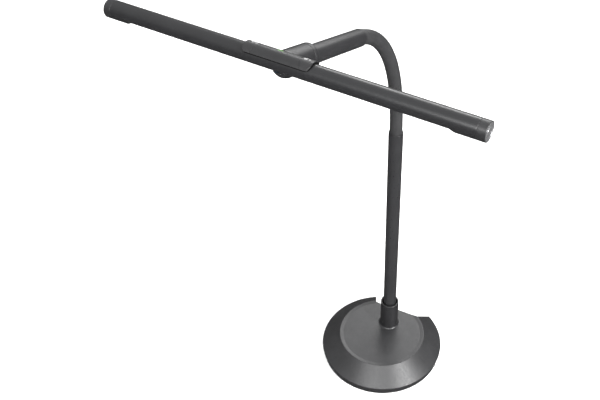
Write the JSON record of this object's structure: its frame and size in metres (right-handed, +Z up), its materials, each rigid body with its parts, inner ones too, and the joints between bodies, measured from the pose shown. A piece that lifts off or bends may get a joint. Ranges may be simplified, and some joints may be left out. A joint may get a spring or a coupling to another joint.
{
  "type": "piano lamp",
  "caption": "Piano lamp with a long tubular light bar, bendable neck, twisting hub, press keys on a raised panel, slim pole and heavy notched round base.",
  "frame": {"origin": "middle of the round base, on the pad's face that stands on the table", "axes": "+Z up through the pole's direction, +X along the light bar to its right end, -Y to the front, where the bar hangs out over the music"},
  "size_m": [0.447, 0.3297, 0.7031],
  "materials": {
    "base_paint": "fine-textured matte black powder coat",
    "ballast_iron": "raw cast",
    "plate_steel": "zinc plated",
    "steel": "machined",
    "pad_rubber": "matte foam rubber",
    "collar_black": "satin black",
    "pole_paint": "satin black powder coat",
    "nipple_brass": "machined",
    "inlet_plastic": "black",
    "lead_pvc": "black cable sheath",
    "neck_rubber": "smooth matte rubber sheath",
    "ball_steel": "drawn",
    "socket_plastic": "black",
    "sleeve_black": "satin black anodised",
    "plug_aluminium": "turned",
    "hub_black": "fine matte black",
    "bush_plastic": "natural acetal",
    "tube_black": "satin black anodised",
    "board_white": "white circuit board",
    "led_phosphor": "yellow phosphor",
    "diffuser_opal": "opal",
    "cap_black": "satin black",
    "disc_grey": "turned, satin grey",
    "board_green": "green circuit board",
    "switch_black": "black",
    "panel_black": "satin black",
    "frame_black": "matte black",
    "key_black": "satin black",
    "lens_green": "green translucent"
  },
  "bodies": {
    "stand": {"base_shell": "base_paint", "ballast": "ballast_iron", "base_plate": "plate_steel", "base_screws": "steel", "foot_pad": "pad_rubber", "collar": "collar_black", "pole": "pole_paint", "pole_plug": "plug_aluminium", "pole_nipple": "nipple_brass", "nipple_nut": "steel", "nipple_washer": "steel", "power_inlet": "inlet_plastic", "inlet_nut": "steel", "supply_lead": "lead_pvc", "neck_socket": "socket_plastic", "neck_ball_1": "ball_steel"},
    "neck_1": {"neck_link_1": "neck_rubber"},
    "knuckle_2": {"neck_ball_2": "ball_steel"},
    "neck_2": {"neck_link_2": "neck_rubber", "neck_ball_3": "ball_steel"},
    "neck_3": {"neck_link_3": "neck_rubber"},
    "knuckle_4": {"neck_ball_4": "ball_steel"},
    "neck_4": {"neck_link_4": "neck_rubber", "neck_ball_5": "ball_steel"},
    "neck_5": {"neck_link_5": "neck_rubber"},
    "knuckle_6": {"neck_ball_6": "ball_steel"},
    "neck_6": {"neck_link_6": "neck_rubber", "neck_ball_7": "ball_steel"},
    "neck_7": {"neck_link_7": "neck_rubber"},
    "knuckle_8": {"neck_ball_8": "ball_steel"},
    "arm": {"neck_plug": "socket_plastic", "arm_sleeve": "sleeve_black", "sleeve_plug": "plug_aluminium", "pivot_tube": "steel", "pivot_nut": "steel", "pivot_washer": "steel", "friction_washer": "bush_plastic", "arm_lead": "lead_pvc"},
    "light_bar": {"hub_body": "hub_black", "hub_ring": "hub_black", "hub_bush_front": "bush_plastic", "hub_bush_rear": "bush_plastic", "hub_screws": "steel", "bar_tube": "tube_black", "led_board": "board_white", "leds": "led_phosphor", "diffuser": "diffuser_opal", "end_cap_left": "cap_black", "end_cap_right": "cap_black", "end_disc_left": "disc_grey", "end_disc_right": "disc_grey", "control_board": "board_green", "switches": "switch_black", "panel_frame": "frame_black", "centre_plate": "panel_black", "indicator_lens": "lens_green"},
    "key_left": {"key_left": "key_black"},
    "key_right": {"key_right": "key_black"}
  },
  "joints": [
    {"name": "neck_bend_1", "type": "hinge", "parent": "stand", "child": "neck_1", "pos_m": [0, 0.0254, 0.452], "axis": [1, 0, 0], "range_deg": [-3, 5.3]},
    {"name": "neck_bend_2", "type": "hinge", "parent": "neck_1", "child": "knuckle_2", "pos_m": [0, 0.02379, 0.48276], "axis": [1, 0, 0], "range_deg": [-4.75, 5.3]},
    {"name": "neck_sway_2", "type": "hinge", "parent": "knuckle_2", "child": "neck_2", "pos_m": [0, 0.02379, 0.48276], "axis": [0, -0.9956, -0.0937], "range_deg": [-7.5, 7.5]},
    {"name": "neck_bend_3", "type": "hinge", "parent": "neck_2", "child": "neck_3", "pos_m": [0, 0.01963, 0.51328], "axis": [1, 0, 0], "range_deg": [-6.5, 5.3]},
    {"name": "neck_bend_4", "type": "hinge", "parent": "neck_3", "child": "knuckle_4", "pos_m": [0, 0.01205, 0.54313], "axis": [1, 0, 0], "range_deg": [-8.25, 5.3]},
    {"name": "neck_sway_4", "type": "hinge", "parent": "knuckle_4", "child": "neck_4", "pos_m": [0, 0.01205, 0.54313], "axis": [0, -0.949, -0.3152], "range_deg": [-7.5, 7.5]},
    {"name": "neck_bend_5", "type": "hinge", "parent": "neck_4", "child": "neck_5", "pos_m": [0, 0.00027, 0.57158], "axis": [1, 0, 0], "range_deg": [-10, 5.3]},
    {"name": "neck_bend_6", "type": "hinge", "parent": "neck_5", "child": "knuckle_6", "pos_m": [0, -0.01628, 0.59756], "axis": [1, 0, 0], "range_deg": [-11.75, 5.3]},
    {"name": "neck_sway_6", "type": "hinge", "parent": "knuckle_6", "child": "neck_6", "pos_m": [0, -0.01628, 0.59756], "axis": [0, -0.784, -0.6208], "range_deg": [-7.5, 7.5]},
    {"name": "neck_bend_7", "type": "hinge", "parent": "neck_6", "child": "neck_7", "pos_m": [0, -0.03777, 0.61962], "axis": [1, 0, 0], "range_deg": [-13.5, 5.3]},
    {"name": "neck_bend_8", "type": "hinge", "parent": "neck_7", "child": "knuckle_8", "pos_m": [0, -0.06382, 0.63606], "axis": [1, 0, 0], "range_deg": [-15.25, 5.3]},
    {"name": "neck_sway_8", "type": "hinge", "parent": "knuckle_8", "child": "arm", "pos_m": [0, -0.06382, 0.63606], "axis": [0, -0.4167, -0.9091], "range_deg": [-7.5, 7.5]},
    {"name": "bar_twist", "type": "hinge", "parent": "arm", "child": "light_bar", "pos_m": [0, -0.23118, 0.68722], "axis": [0, -0.9563, 0.2924], "range_deg": [-90, 90]},
    {"name": "key_left_press", "type": "slide", "parent": "light_bar", "child": "key_left", "axis": [0, -0.2924, -0.9563], "range_m": [0, 0.0005], "stiffness_N_per_m": 1500},
    {"name": "key_right_press", "type": "slide", "parent": "light_bar", "child": "key_right", "axis": [0, -0.2924, -0.9563], "range_m": [0, 0.0005], "stiffness_N_per_m": 1500}
  ]
}
